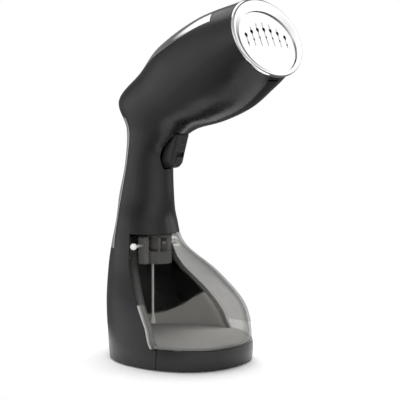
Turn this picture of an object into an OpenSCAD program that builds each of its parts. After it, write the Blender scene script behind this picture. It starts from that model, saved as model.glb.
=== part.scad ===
// Hand-held garment steamer, standing on its own base.
// Origin: centre of the footprint on the surface it stands on. +X is where the steam head points,
// +Z is up. The casing is a loft of stations, each a rounded section that lies across the body.

/* [Base] */
// Length of the footprint, front to back
base_len = 118; // [115:0.5:120]
// Width of the footprint
base_w = 106; // [102:0.5:108]
// Thickness of the rubber feet
foot_h = 0.8; // [0.6:0.1:1]
// Radius of a rubber foot
foot_r = 5; // [4:0.5:6]

/* [Handle] */
// Width of the handle at its slimmest
handle_w = 36; // [35:0.5:38]
// Wall of the two casing halves
wall = 2.2; // [2:0.1:2.4]
// Half the angle that the chrome back strip covers
strip_angle = 59; // [50:1:62]

/* [Steam head] */
// Width of the steam head a little behind the chrome rim
head_w = 73; // [71:0.5:75]
// Upward tilt of the steam plate
plate_tilt = 22.3; // [21:0.1:24]
// Height of the steam plate along its face
plate_h = 49.6; // [48:0.2:49.6]
// Width of the steam plate
plate_w = 68.2; // [66:0.2:68.4]
// Number of steam slots
slots = 7; // [5:2:7]
// Distance between neighbouring slots
slot_pitch = 8; // [7:0.5:8.5]

/* [Trigger] */
// Width of the trigger
trigger_w = 14.8; // [13:0.2:15]
// Radius of the trigger's pivot pin
pin_r = 1.5; // [1.3:0.1:1.6]
// Travel of the steam-lock slider
lock_travel = 3; // [2:0.5:3]

/* [Tank] */
// Wall of the clear tank
tank_wall = 2; // [1.6:0.1:2.2]
// How far the tank steps in where it enters the skirt
side_step = 5; // [4.6:0.1:6]
// Radius of a latch button's ball head
ball_r = 2.8; // [2.5:0.1:2.9]
// Travel of a latch button
latch_travel = 2; // [1.5:0.1:2]

/* [Cord inlet] */
// Radius of the hole that the mains cord passes through
inlet_r = 3.6; // [3:0.1:3.9]

/* [Hidden] */
$fn = 48;
gap = 0.5;      // clearance between the tank and the handle
fit = 0.05;     // radial clearance of a running fit
cover_t = 1.2;  // thickness of the chrome skins
recess = 1.3;   // depth of the recess that a chrome skin lies in
inner_wall = wall + recess;

base_x = base_len / 2;
base_y = base_w / 2;
hand_y = handle_w / 2;
head_y = head_w / 2;

// Stations up the body: back x, back z, front x, front z, half width, roundness exponent.
STATIONS = [
  [-base_x + 0.5, foot_h, base_x - 0.5, foot_h, base_y, 2.2],
  [-base_x - 2.5, 16, base_x + 1, 16, base_y - 1.2, 2.2],
  [-66, 45, 54, 45, base_y - 7.5, 2.3],
  [-71, 70, 32, 70, 32.5, 2.2],
  [-67.5, 90, -2.5, 90, 26.2, 2.2],
  [-61.5, 110, -12.5, 110, 24.8, 2.15],
  [-61.5, 130, -12.5, 130, hand_y + 1.4, 2.1],
  [-55, 155.5, -12.5, 162.5, hand_y - 0.2, 2.1],
  [-53.5, 185, -4, 174, hand_y, 2.1],
  [-62, 209, 13.5, 184.5, 22, 2.1],
  [-35.5, 231.5, 40.5, 191, 27.8, 2.1],
  [-13, 252, 66, 201, 33.4, 2.1],
  [28, 272, 86, 216, head_y, 2.1],
  [72.5, 283, 94, 224.5, head_y + 1.8, 2.05]
];
LAST = len(STATIONS) - 1;
T_NECK = 4.5;   // the handle's lower edge

// Rear edge of the clear tank on the body's side: height, x.
TANK_EDGE = [
  [0, 18.5], [15.8, 18.5], [16, 12.5], [20, 9.5], [31, 5], [40, -1.5], [51, -10],
  [60, -17.5], [69, -25], [77, -29.5], [85, -31.6], [100, -33]
];

// A station past either end continues the last step.
function station(i) =
  i < 0 ? 2 * STATIONS[0] - STATIONS[1] :
  i > LAST ? 2 * STATIONS[LAST] - STATIONS[LAST - 1] : STATIONS[i];

// Catmull-Rom blend between stations.
function blend4(a, b, c, d, u) =
  0.5 * (2 * b + (c - a) * u + (2 * a - 5 * b + 4 * c - d) * u * u
         + (3 * b - a - 3 * c + d) * u * u * u);

function section(t) =
  let (i = min(floor(t), LAST - 1), u = t - i)
  blend4(station(i - 1), station(i), station(i + 1), station(i + 2), u);

function spow(v, e) = sign(v) * pow(abs(v), e);

// A point of the body: t along the stations, a round the section (0 front, 180 back,
// over 180 on the right side), in mm inside the outer surface.
function skin(t, a, in = 0) =
  let (s = section(t),
       half = [s[2] - s[0], s[3] - s[1]] / 2,
       len_h = norm(half),
       dir = half / len_h,
       c = (len_h - in) * spow(cos(a), 2 / s[5]),
       y = (s[4] - in) * spow(sin(a), 2 / s[5]))
  [(s[0] + s[2]) / 2 + dir[0] * c, y, (s[1] + s[3]) / 2 + dir[1] * c];

// Angle, from the front, of the body's side at a given x of a level section.
function angle_at_x(t, x) =
  let (s = section(t), r = (x - (s[0] + s[2]) / 2) / ((s[2] - s[0]) / 2))
  acos(spow(r, s[5] / 2));

// Angle, from the front, where the section, in mm inside the surface, is y wide to each side.
function angle_at_y(t, y, in = 0) =
  let (s = section(t)) asin(pow(min(y / (s[4] - in), 1), s[5] / 2));

function edge_x(t) = lookup(section(t)[1], TANK_EDGE);
function edge_angle(t) = angle_at_x(t, edge_x(t));

// Faces of a closed shell over a grid of nr x nc points, the outer points first and then the
// inner ones. keep(i, j) says which cells hold material; the open edges get walls.
function quad(a, b, c, d) = [[a, b, c], [a, c, d]];
function shell_faces(nr, nc, keep, wrap = false) =
  let (m = nr * nc,
       nj = wrap ? nc : nc - 1,
       id = function(i, j) i * nc + (j % nc),
       left = function(j) wrap ? (j + nj - 1) % nj : j - 1,
       right = function(j) wrap ? (j + 1) % nj : j + 1,
       has = function(i, j) i >= 0 && i < nr - 1 && j >= 0 && j < nj && keep(i, j))
  [for (i = [0 : nr - 2]) for (j = [0 : nj - 1]) if (keep(i, j))
    let (a = id(i, j), b = id(i, j + 1), c = id(i + 1, j + 1), d = id(i + 1, j))
    each concat(
      quad(a, b, c, d), quad(m + d, m + c, m + b, m + a),
      has(i - 1, j) ? [] : quad(b, a, m + a, m + b),
      has(i, right(j)) ? [] : quad(c, b, m + b, m + c),
      has(i + 1, j) ? [] : quad(d, c, m + c, m + d),
      has(i, left(j)) ? [] : quad(a, d, m + d, m + a))];

function all_cells() = function(i, j) true;

// A solid between an outer and an inner grid of points, each a list of equal rows.
module grid_shell(outer, inner, keep, wrap = false) {
  nr = len(outer);
  nc = len(outer[0]);
  polyhedron([for (row = outer) each row, for (row = inner) each row],
             shell_faces(nr, nc, keep, wrap), convexity = 8);
}

// A tube of radius r along a list of points.
function tangent(p, i) =
  let (d = p[min(i + 1, len(p) - 1)] - p[max(i - 1, 0)]) d / norm(d);
function hoop(c, d, r, n) =
  let (side = cross(d, abs(d[1]) < 0.9 ? [0, 1, 0] : [1, 0, 0]),
       u = side / norm(side), v = cross(d, u))
  [for (k = [0 : n - 1]) c + r * (cos(360 * k / n) * u + sin(360 * k / n) * v)];
module tube_along(p, r, n = 8) {
  last = len(p) - 1;
  rings = [for (i = [0 : last]) hoop(p[i], tangent(p, i), r, n)];
  polyhedron(
    [for (g = rings) each g],
    concat([[for (k = [0 : n - 1]) k]],
           [for (i = [0 : last - 1]) for (k = [0 : n - 1])
             each quad(i * n + k, (i + 1) * n + k, (i + 1) * n + (k + 1) % n, i * n + (k + 1) % n)],
           [[for (k = [n - 1 : -1 : 0]) last * n + k]]),
    convexity = 6);
}
// A smooth route through hand-set points.
function route(p, steps) =
  [for (i = [0 : len(p) - 2]) for (k = [0 : steps - 1])
     blend4(p[max(i - 1, 0)], p[i], p[i + 1], p[min(i + 2, len(p) - 1)], k / steps),
   p[len(p) - 1]];

function ellipse(a, b, n = 72) = [for (k = [0 : n - 1]) [a * cos(360 * k / n), b * sin(360 * k / n)]];

// ---- casing halves ----
T_TRIG = [6.65, 8.62];    // opening for the trigger
T_SLOT = [12.58, 12.74];   // slot that an accessory clips into
T_GLAND = [2.4, 2.85];    // opening for the cord gland
T_STRIP = [3.8, 8.5];     // chrome back strip
T_COVER = [9.72, 12.45];  // chrome top cover
EPS_T = 0.02;
CASING_ROWS = [
  0, 0.4, 0.75, 0.98, 1, 1.3, 1.6, 2, T_GLAND[0], T_GLAND[1], 3.2, 3.55,
  T_STRIP[0] - EPS_T, T_STRIP[0], 4.1, T_NECK, 4.8, 5.2, 5.6, 6, 6.3,
  T_TRIG[0], 7, 7.4, 7.8, 8.2, T_STRIP[1], T_STRIP[1] + EPS_T, T_TRIG[1], 8.9, 9.2, 9.5,
  T_COVER[0] - EPS_T, T_COVER[0], 9.9, 10.15, 10.6, 11, 11.5, 12,
  T_COVER[1], T_COVER[1] + EPS_T, T_SLOT[0], T_SLOT[1], LAST
];
COL_SKIN = 6;    // column at the chrome skins' edge; the next one stands just outside it
COL_EDGE = 12;   // column at the tank's rear edge
COL_MID = 16;    // column at the trigger opening's edge
COL_END = 18;    // column on the front seam
SKIN_STEP = 0.6; // angle between the skin's edge column and the next

// Half the angle of the chrome skins: the strip's is constant, the cover's is a tongue.
function tongue(t) = 54 * sqrt(max(1 - pow((12.45 - t) / 2.75, 2), 0));
function skin_angle(t) =
  t <= 9 ? strip_angle :
  t < T_COVER[0] ? strip_angle + (tongue(T_COVER[0]) - strip_angle) * (t - 9) / (T_COVER[0] - 9) :
  tongue(t);
function in_span(t, span) = t >= span[0] - 0.001 && t <= span[1] + 0.001;
function mid_half_width(t) = t < 10 ? trigger_w / 2 + 0.7 : 6;

function casing_angle(t, j, in = 0) =
  let (a = 180 + skin_angle(t),
       b = 360 - (t <= T_NECK ? edge_angle(t) : 80),
       c = 360 - angle_at_y(t, mid_half_width(t), in))
  j == 1 && t < 3.2 ? 187.5 :
  j <= COL_SKIN ? 180 + skin_angle(t) * j / COL_SKIN :
  j <= COL_EDGE ? a + SKIN_STEP + (b - a - SKIN_STEP) * (j - COL_SKIN - 1) / (COL_EDGE - COL_SKIN - 1) :
  j <= COL_MID ? b + (c - b) * (j - COL_EDGE) / (COL_MID - COL_EDGE) :
  c + (360 - c) * (j - COL_MID) / (COL_END - COL_MID);

function casing_has(t0, t1, j) =
  !(t1 <= T_NECK + 0.001 && j >= COL_EDGE) &&
  !(in_span(t0, T_TRIG) && in_span(t1, T_TRIG) && j >= COL_MID) &&
  !(in_span(t0, T_SLOT) && in_span(t1, T_SLOT) && j >= COL_MID) &&
  !(in_span(t0, T_GLAND) && in_span(t1, T_GLAND) && j < 1);

module casing_half() {
  outer = [for (t = CASING_ROWS) [for (j = [0 : COL_END])
    let (sunk = j <= COL_SKIN && (in_span(t, T_STRIP) || in_span(t, T_COVER)))
    skin(t, casing_angle(t, j), sunk ? recess : 0)]];
  inner = [for (t = CASING_ROWS) [for (j = [0 : COL_END])
    skin(t, casing_angle(t, j, inner_wall), inner_wall)]];
  grid_shell(outer, inner, function(i, j) casing_has(CASING_ROWS[i], CASING_ROWS[i + 1], j));
}

module right_casing() { color("#2b2b2d") casing_half(); }
module left_casing() { color("#303033") mirror([0, 1, 0]) casing_half(); }

// ---- chrome skins ----
// A skin over the back of the body between two stations, on the casing's own rows and columns.
module back_skin(span) {
  ts = concat(span[0] + EPS_T, [for (t = CASING_ROWS) if (t > span[0] + EPS_T && t < span[1] - EPS_T) t],
              span[1] - EPS_T);
  function row(t, in) =
    [for (j = [-COL_SKIN : COL_SKIN]) skin(t, 180 + (skin_angle(t) - 0.5) * j / COL_SKIN, in)];
  grid_shell([for (t = ts) row(t, 0)], [for (t = ts) row(t, cover_t)], all_cells());
}
module chrome_top_cover() { color("#e8e8ea") back_skin(T_COVER); }
module chrome_back_strip() { color("#e8e8ea") back_skin(T_STRIP); }

// ---- steam head ----
// Rings of the chrome rim: top x, top z, bottom x, bottom z, half width.
RIM = [
  [72.7, 282.9, 94.1, 224.7, head_y + 1.7], [74.4, 283.4, 95.7, 224.2, head_y + 3.9],
  [76.8, 282.6, 97.3, 224.8, head_y + 4.5], [78, 280.6, 98.1, 226.2, head_y + 2.9],
  [78.2, 274.1, 97.1, 228, plate_w / 2 + 0.2], [75.5, 273.4, 94.3, 226.4, plate_w / 2 + 0.3],
  [74.1, 279.4, 93.3, 227, head_y - 0.1]
];
module nozzle_rim() {
  n = 48;
  function ring(r) = [for (k = [0 : n - 1])
    [(r[0] + r[2]) / 2 + (r[2] - r[0]) / 2 * cos(360 * k / n), r[4] * sin(360 * k / n),
     (r[1] + r[3]) / 2 + (r[3] - r[1]) / 2 * cos(360 * k / n)]];
  rings = len(RIM);
  color("#ededee")
  polyhedron([for (r = RIM) each ring(r)],
    [for (i = [0 : rings - 1]) for (k = [0 : n - 1])
      each quad(i * n + (k + 1) % n, i * n + k, ((i + 1) % rings) * n + k,
                ((i + 1) % rings) * n + (k + 1) % n)], convexity = 6);
}

// Frame of the steam plate: z out of its face, x down along it.
PLATE_C = [86.5, 0, 250.6];
plate_t = 2.4;      // thickness of the steam plate
gasket_t = 1.6;     // thickness of the gasket behind it
chamber_d = 16;     // depth of the steam chamber
chamber_a = 21;     // half height of the steam chamber
chamber_b = 27;     // half width of the steam chamber
chamber_z = -plate_t - gasket_t - chamber_d;
heater_r = 3.2;     // radius of the heating tube
module at_plate() { translate(PLATE_C) rotate([0, 90 - plate_tilt, 0]) children(); }

half_n = (slots - 1) / 2;
function slot_up(k) = 10.5 - 0.6 * k * k;   // slots lie on an arc above the plate's middle
function slot_len(k) = 19 - k * k;
module steam_plate() {
  groove = 0.8;   // depth of the groove round each steam hole
  color("#f2f2f2") at_plate() difference() {
    translate([0, 0, -plate_t]) linear_extrude(plate_t) polygon(ellipse(plate_h / 2, plate_w / 2));
    for (k = [-half_n : half_n]) translate([-slot_up(k), k * slot_pitch, -groove]) {
      translate([-slot_len(k) / 2 + 4, -0.8, 0]) cube([slot_len(k), 1.6, 2]);
      translate([0, 0, -3]) cylinder(r = 1.7, h = 6);
      translate([6, 0, -3]) cylinder(r = 0.9, h = 6);
    }
  }
}
module plate_gasket() {
  color("#b0482e") at_plate() translate([0, 0, -plate_t - gasket_t]) linear_extrude(gasket_t)
    difference() {
      polygon(ellipse(chamber_a + 1, chamber_b + 1));
      polygon(ellipse(chamber_a - 5.5, chamber_b - 5.5));
      for (s = [-1, 1]) for (q = [-1, 1]) translate([s * 14.5, q * 18.5]) circle(r = 1.6);
    }
}
module steam_chamber() {
  cavity = 9;   // depth of the steam space
  color("#b8babd") at_plate() difference() {
    translate([0, 0, chamber_z]) linear_extrude(chamber_d) polygon(ellipse(chamber_a, chamber_b));
    translate([0, 0, chamber_z + chamber_d - cavity]) linear_extrude(cavity + 1) difference() {
      polygon(ellipse(chamber_a - 3, chamber_b - 3));
      for (s = [-1, 1]) for (q = [-1, 1]) translate([s * 14.5, q * 18.5]) circle(r = 3.6);
      translate([-2, -14]) square([4, 28]);
    }
    for (s = [-1, 1]) for (q = [-1, 1])
      translate([s * 14.5, q * 18.5, chamber_z + 4]) cylinder(r = 1.45, h = chamber_d);
    translate([8, 0, chamber_z - 1]) cylinder(r = 2, h = chamber_d);
  }
}
module heater_element() {
  bend_r = 12;   // radius of the heating tube's bend
  color("#8f6b55") at_plate() translate([0, 0, chamber_z - heater_r]) {
    rotate([0, 0, 90]) rotate_extrude(angle = 180) translate([bend_r, 0]) circle(r = heater_r);
    for (s = [-1, 1]) translate([0, s * bend_r, 0]) {
      rotate([0, 90, 0]) cylinder(r = heater_r, h = 14);
      translate([14, 0, 0]) rotate([0, 90, 0]) cylinder(r = 1.2, h = 5);
    }
  }
}
module thermostat() {
  color("#d8d2c0") at_plate() translate([-2.7, 0, chamber_z]) {
    translate([0, 0, -5]) cylinder(r = 5.8, h = 5);
    for (s = [-1, 1]) translate([-0.4, s * 3 - 1.5, -10]) cube([0.8, 3, 5]);
  }
}
module thermal_fuse() {
  color("#c9b458") at_plate() translate([15, -6, chamber_z - 2]) rotate([-90, 0, 0]) {
    cylinder(r = 1.95, h = 12);
    translate([0, 0, -3]) cylinder(r = 0.5, h = 18);
  }
}
module heat_sleeve() {
  color("#cfc8b8") at_plate() translate([0, 0, -30]) linear_extrude(24) difference() {
    polygon(ellipse(24.5, 31));
    polygon(ellipse(23, 29.5));
  }
}
module chamber_screws() {
  color("#9fa2a6") at_plate() for (s = [-1, 1]) for (q = [-1, 1])
    translate([s * 14.5, q * 18.5, 0]) {
      translate([0, 0, -plate_t - gasket_t - 8]) cylinder(r = 1.4, h = 8 + gasket_t);
    }
}

// ---- water path in the handle ----
DOCK_Z = 90;          // height at which the tank plugs in
LUG = [-55, 9];       // back of the lug that holds the socket, and its length
VALVE_L = 18;   // length of the check valve
function plate_point(x, y, z) =
  PLATE_C + [x * sin(plate_tilt) + z * cos(plate_tilt), y, z * sin(plate_tilt) - x * cos(plate_tilt)];
module check_valve() {
  color("#d9d9dc") at_plate() translate([8, 0, chamber_z - 12 - VALVE_L]) {
    translate([0, 0, 12]) difference() {
      union() {
        cylinder(r = 4.5, h = VALVE_L - 3);
        translate([0, 0, VALVE_L - 3]) cylinder(r = 2.6, h = 3);
      }
      translate([0, 0, -1]) cylinder(r = 1.2, h = VALVE_L + 2);
    }
    cylinder(r = 1.6, h = 12);
  }
}
hose_r = 2.2;   // outer radius of the hoses
OUTLET_ROUTE = [
  [-36, 7, 147], [-36, 7, 149], [-37, 8.2, 157], [-39, 8.6, 170], [-40, 8, 186], [-36, 5, 206], [-14, 0, 222],
  [16, 0, 227],
  plate_point(8, 0, chamber_z - 32)
];
INLET_ROUTE = [
  [LUG[0] - 1.3, 0, DOCK_Z], [LUG[0] - 1.9, 0, DOCK_Z], [LUG[0] - 2.5, 0, DOCK_Z], [-59.3, 0, 91.2],
  [-60, 0, 94], [-59.3, 0, 97.5], [-58, 0, 101], [-57.5, 0, 103.5], [-55.4, 0, 109], [-53.4, 0, 115],
  [-51.6, 0, 118.5], [-50.4, 0, 118.5], [-49.2, 0, 118.5]
];
module outlet_hose() { color("#c9d3d6") tube_along(route(OUTLET_ROUTE, 3), hose_r); }
module inlet_hose() { color("#c9d3d6") tube_along(route(INLET_ROUTE, 2), hose_r); }

PUMP_AT = [-36, 0, 108];
pump_r = 10.5;
pump_h = 34;
module pump() {
  color("#4a6fa5") translate(PUMP_AT) {
    cylinder(r = pump_r, h = pump_h);
    translate([0, 7, pump_h]) cylinder(r = 2, h = 5);
    translate([-13, 0, 10.5]) rotate([0, 90, 0]) cylinder(r = 2, h = 5);
  }
}
module pump_mounts() {
  color("#1d1d1d") translate(PUMP_AT) for (z = [2, pump_h - 8])
    translate([0, 0, z]) difference() {
      cylinder(r = pump_r + 2, h = 5);
      translate([0, 0, -1]) cylinder(r = pump_r, h = 7);
    }
}

// ---- electrics ----
BOARD = [-14, -15, 204];
module control_board() {
  color("#2f6b3a") translate(BOARD) cube([38, 30, 1.6]);
}
module board_parts() {
  color("#3a3a3a") translate(BOARD + [0, 0, 1.6]) {
    translate([4, 3, 0]) cube([9, 9, 6]);
    translate([26, 20, 0]) cube([6, 5, 3]);
    translate([30, 8, 0]) cylinder(r = 4, h = 8);
    translate([8, 24, 0]) cylinder(r = 2.5, h = 6);
  }
}
module terminal_block() {
  color("#e6e3d8") translate([-54.5, 4, 104]) difference() {
    cube([6, 7, 12]);
    for (z = [3, 9]) translate([3, -1, z]) rotate([-90, 0, 0]) cylinder(r = 1.4, h = 10);
  }
}

// ---- trigger ----
PIVOT = [-6, 0, 184];         // trigger hinge
FACE_LOW = [-1.8, 158];       // lower and upper ends of the trigger's front face, x and z
FACE_TOP = [5, 180.2];
face_dir = (FACE_TOP - FACE_LOW) / norm(FACE_TOP - FACE_LOW);
face_angle = atan2(face_dir[0], face_dir[1]);
lock_pocket = 1.6;            // depth of the slider's pocket in the trigger
SWITCH = [-38.6, -3.2, 157];    // corner of the microswitch
TRIGGER_OUTLINE = [
  FACE_TOP, FACE_LOW, [-2.4, 156.2], [-3.6, 154.6], [-5.4, 153.8], [-7.6, 154.6], [-11, 157.6],
  [-21, 162], [-24, 163.6], [-24, 168], [-20, 170], [-16, 178], [-12, 187], [-6, 190],
  [-2.6, 187.5], [-1.7, 182.6], [0.2, 180.9]
];
// Turns a child so that its z runs up the trigger's front face and its x points out of it.
module at_face() { translate([FACE_LOW[0], 0, FACE_LOW[1]]) rotate([0, face_angle, 0]) children(); }
module trigger() {
  color("#3c3c3f") difference() {
    translate([0, trigger_w / 2, 0]) rotate([90, 0, 0]) linear_extrude(trigger_w)
      polygon(TRIGGER_OUTLINE);
    translate([PIVOT[0], trigger_w, PIVOT[2]]) rotate([90, 0, 0])
      cylinder(r = pin_r + fit, h = 2 * trigger_w);
    at_face() translate([-lock_pocket, -4.2, -1]) cube([5, 8.4, 9.2]);
    // room for the return spring round the pin
    translate([PIVOT[0], 3.4, PIVOT[2]]) rotate([90, 0, 0]) cylinder(r = 8, h = 6.8);
  }
}
module lock_slider() {
  color("#4a4a4d") at_face() translate([-lock_pocket + fit, -4.1, -0.9])
    cube([lock_pocket + 0.7, 8.2, 9 - lock_travel - 0.2]);
}
module trigger_pin() {
  color("#c0c2c6") translate([PIVOT[0], 10.8, PIVOT[2]]) rotate([90, 0, 0]) cylinder(r = pin_r, h = 21.6);
}
module trigger_spring() {
  wire = 0.45;
  coil_r = pin_r + 1.1;
  turns = 4;
  per_turn = 10;
  p = [for (k = [0 : turns * per_turn])
    [PIVOT[0] + coil_r * cos(360 * k / per_turn), -2.4 + 4.8 * k / (turns * per_turn),
     PIVOT[2] + coil_r * sin(360 * k / per_turn)]];
  color("#c9cbd0") tube_along(p, wire, 6);
}
module microswitch() {
  color("#26262a") translate(SWITCH) {
    cube([10, 6.4, 20]);
    translate([10, 2.2, 7]) cube([1.4, 2, 2.4]);
  }
}

// ---- base ----
function base_outline(in, x0, front) =
  let (e = angle_at_x(0, x0), n = 36)
  front ? [for (k = [0 : n]) let (p = skin(0, -e + 2 * e * k / n, in)) [p[0], p[1]]] :
          [for (k = [0 : n]) let (p = skin(0, e + (360 - 2 * e) * k / n, in)) [p[0], p[1]]];
seam_x = 18.5;
sole_t = 2.4;     // thickness of the bottom covers
rib_top = 16.1;   // top of the ribs that the tank slides on
module base_plate() {
  color("#262628") {
    translate([0, 0, foot_h]) linear_extrude(sole_t) difference() {
      polygon(base_outline(inner_wall + 0.5, seam_x - 0.6, false));
      for (p = BASE_SCREWS) translate(p) circle(r = 1.8);
    }
    for (s = [-1, 1]) translate([-46, s * 24 - 1, foot_h + sole_t])
      cube([seam_x + 44, 2, rib_top - foot_h - sole_t]);
  }
}
BASE_SCREWS = [[-46, 14], [-46, -14], [4, 36], [4, -36]];
module base_screws() {
  color("#8d9094") for (p = BASE_SCREWS) translate([p[0], p[1], foot_h + sole_t]) {
    cylinder(r = 3, h = 1.6);
    translate([0, 0, -sole_t + 0.4]) cylinder(r = 1.7, h = sole_t);
    cylinder(r = 1.4, h = 6);
  }
}
module skirt_feet() {
  color("#1a1a1a") for (p = [[-32, 34], [-32, -34], [0, 0]]) translate(p) cylinder(r = foot_r, h = foot_h);
}
// Cord gland: it stands square to the skirt's sloping back.
GLAND = [-69, 0, 61.2];
gland_tilt = 11;
module at_gland() { translate(GLAND) rotate([0, -90 - gland_tilt, 0]) children(); }
module cord_gland() {
  color("#1f1f20") at_gland() difference() {
    union() {
      translate([0, 0, 0.4]) cylinder(r = 9, h = 2);
      translate([0, 0, -6]) cylinder(r = 5.2, h = 10.4);
    }
    translate([0, 0, -8]) cylinder(r = inlet_r, h = 14);
  }
}

// ---- where the tank docks ----
spigot_r = 3;
plate_z = 101;        // underside of the plate that closes the handle
function level_outline(t, in, n = 40) =
  [for (k = [0 : n - 1]) let (p = skin(t, 360 * k / n, in)) [p[0], p[1]]];
module neck_plate() {
  color("#2d2d30") difference() {
    union() {
      translate([0, 0, plate_z]) linear_extrude(2.4) polygon(level_outline(T_NECK + 0.17, inner_wall + 0.1));
      translate([LUG[0], -7, DOCK_Z - 6.5]) cube([LUG[1], 14, plate_z + 1 - DOCK_Z + 6.5]);
    }
    translate([LUG[0] - 1, 0, DOCK_Z]) rotate([0, 90, 0]) cylinder(r = 4.9, h = LUG[1] + 2);
    translate([-57.8, 0, plate_z - 1]) cylinder(r = 3, h = 5);
  }
}
module dock_socket() {
  color("#3a3b40") translate([LUG[0], 0, DOCK_Z]) rotate([0, 90, 0]) difference() {
    union() {
      cylinder(r = 4.9, h = LUG[1] + 0.6);
      translate([0, 0, -1.2]) cylinder(r = 2.4, h = 2);
    }
    translate([0, 0, 2]) cylinder(r = spigot_r + fit, h = 8);
    translate([0, 0, -2]) cylinder(r = 1.4, h = 6);
    translate([0, 0, 5]) cylinder(r = spigot_r + 1.2, h = 1.6);
  }
}
module dock_seal() {
  color("#7a2f22") translate([LUG[0] + 5.05, 0, DOCK_Z]) rotate([0, 90, 0]) difference() {
    cylinder(r = spigot_r + 1.15, h = 1.5);
    translate([0, 0, -1]) cylinder(r = spigot_r + fit, h = 4);
  }
}

// ---- tank ----
ARC = 18;          // cells round the tank's front
REAR = 11;         // cells round the part that reaches into the skirt
TANK_ROWS = [1.02, 1.3, 1.6, 2, 2.4, 2.8, 3.2, 3.55, 3.8, 4.2, 4.46];
ROW_DOCK = 8;      // row of cells that the spigot and the latch buttons pass through
CAP_C = [-24, 0];
cap_r = 11;
latch_z = 90;
LATCH_X = -27.9;
latch_y = 25.6;      // centre of a latch button's ball
// Back of the tank at each height: it leaves a channel for the cord inside the skirt.
TANK_BACK = [[16, -53], [45, -55], [68, -55], [76, -50], [84, -41.5], [100, -41]];
function tank_ring(t, in) =
  let (x0 = edge_x(t) + gap, z = section(t)[1],
       a = angle_at_x(t, x0),
       y0 = skin(t, a, 0)[1] - side_step - in,
       back = lookup(z, TANK_BACK) + in,
       corner = 6.8 / section(t)[4] * 57.3,
       a_in = angle_at_x(t, x0 + in))
  concat(
    [for (k = [0 : ARC]) let (u =
        k == 0 ? -a_in : k == ARC ? a_in : -a + corner + 2 * (a - corner) * (k - 1) / (ARC - 2))
      skin(t, u, in)],
    [for (k = [0 : REAR]) let (b = 180 * k / REAR)
      [x0 + in - (x0 + in - back) * pow(sin(b), 0.9), y0 * spow(cos(b), 0.9), z]]);
module tank_shell() {
  top = len(TANK_ROWS) - 1;
  top_z = section(TANK_ROWS[top])[1];
  function to_cap(p, z) =
    let (d = [p[0], p[1]] - CAP_C, q = CAP_C + (cap_r + 0.05) * d / norm(d)) [q[0], q[1], z];
  rim_out = tank_ring(TANK_ROWS[top], 0);
  outer = [for (t = TANK_ROWS) tank_ring(t, 0), [for (p = rim_out) to_cap(p, top_z)]];
  inner = [for (i = [0 : top - 1]) tank_ring(TANK_ROWS[i], tank_wall),
           [for (p = tank_ring(TANK_ROWS[top], tank_wall)) p - [0, 0, tank_wall]],
           [for (p = rim_out) to_cap(p, top_z - tank_wall)]];
  mid = ARC + 1 + (REAR - 1) / 2;
  last = ARC + REAR + 1;
  function open_cell(i, j) =
    i == ROW_DOCK && (j == 0 || j == ARC - 1 || j == ARC || j == last || j == mid);
  color("#9aa3a8", 0.35) grid_shell(outer, inner, function(i, j) !open_cell(i, j), wrap = true);
}
module tank_floor() {
  t = TANK_ROWS[0];
  z = section(t)[1];
  low = foot_h + sole_t;
  color("#85898c") {
    translate([0, 0, z]) linear_extrude(2)
      polygon([for (q = tank_ring(t, tank_wall + 0.6)) [q[0], q[1]]]);
    // posts that the foot's screws bite into
    for (p = SOLE_SCREWS) translate([p[0], p[1], low]) difference() {
      cylinder(r = 3.4, h = z - low + 0.5);
      translate([0, 0, -1]) cylinder(r = 1.45, h = 9.5);
    }
  }
}
module foot_band() {
  ts = [0, 0.4, 0.8, 1, TANK_ROWS[0]];
  n = 22;
  function row(t, in) =
    let (a = angle_at_x(t, seam_x + gap)) [for (k = [0 : n]) skin(t, -a + 2 * a * k / n, in)];
  color("#29292b") grid_shell([for (t = ts) row(t, 0)], [for (t = ts) row(t, 2.4)], all_cells());
}
module foot_sole() {
  color("#242426") difference() {
    translate([0, 0, foot_h]) linear_extrude(sole_t) polygon(base_outline(2.5, seam_x + gap + 1, true));
    for (p = SOLE_SCREWS) translate([p[0], p[1], 0]) cylinder(r = 1.8, h = 9);
  }
}
SOLE_SCREWS = [[30, 38], [30, -38], [50, 0]];
module sole_screws() {
  color("#8d9094") for (p = SOLE_SCREWS) translate([p[0], p[1], foot_h + 0.2]) cylinder(r = 1.4, h = 10);
}
module front_feet() {
  color("#1a1a1a") for (s = [-1, 1]) translate([38, s * 22, 0]) cylinder(r = foot_r, h = foot_h);
}
module at_cap() { translate(CAP_C) children(); }
roof_z = 99;          // top of the tank's cap
TUBE_DX = -6.5;       // suction tube's and valve's places from the cap's centre
VALVE_DX = -3;
module tank_cap() {
  color("#c7ccce", 0.6) at_cap() difference() {
    union() {
      translate([0, 0, 96.6]) cylinder(r = cap_r, h = roof_z - 96.6);
      translate([0, 0, 75]) cylinder(r = cap_r - 0.2, h = 10);
      for (a = [45 : 90 : 315]) rotate([0, 0, a]) translate([8.4, -1, 84]) cube([1.8, 2, 13]);
    }
    translate([3, 0, 74]) cylinder(r = 6, h = 9);
    translate([TUBE_DX, 0, 74]) cylinder(r = 1.7, h = 12);
  }
}
module valve_body() {
  spigot_end = LUG[0] + 2.6 - CAP_C[0];
  color("#8f9296") at_cap() difference() {
    union() {
      translate([VALVE_DX, 0, 85.8]) cylinder(r = 4.2, h = 9.6);
      translate([TUBE_DX, 0, 85.8]) cylinder(r = 2.4, h = 3);
      translate([spigot_end, 0, DOCK_Z]) rotate([0, 90, 0]) cylinder(r = spigot_r, h = VALVE_DX - spigot_end);
    }
    translate([spigot_end - 1, 0, DOCK_Z]) rotate([0, 90, 0]) cylinder(r = 1.4, h = VALVE_DX - spigot_end + 1);
    translate([TUBE_DX, 0, 84]) cylinder(r = 1.1, h = 6);
  }
}
module valve_seal() {
  color("#141414") at_cap() difference() {
    translate([VALVE_DX, 0, 85]) cylinder(r = 5.6, h = 0.8);
    translate([TUBE_DX, 0, 84]) cylinder(r = 1.8, h = 3);
  }
}
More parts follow.
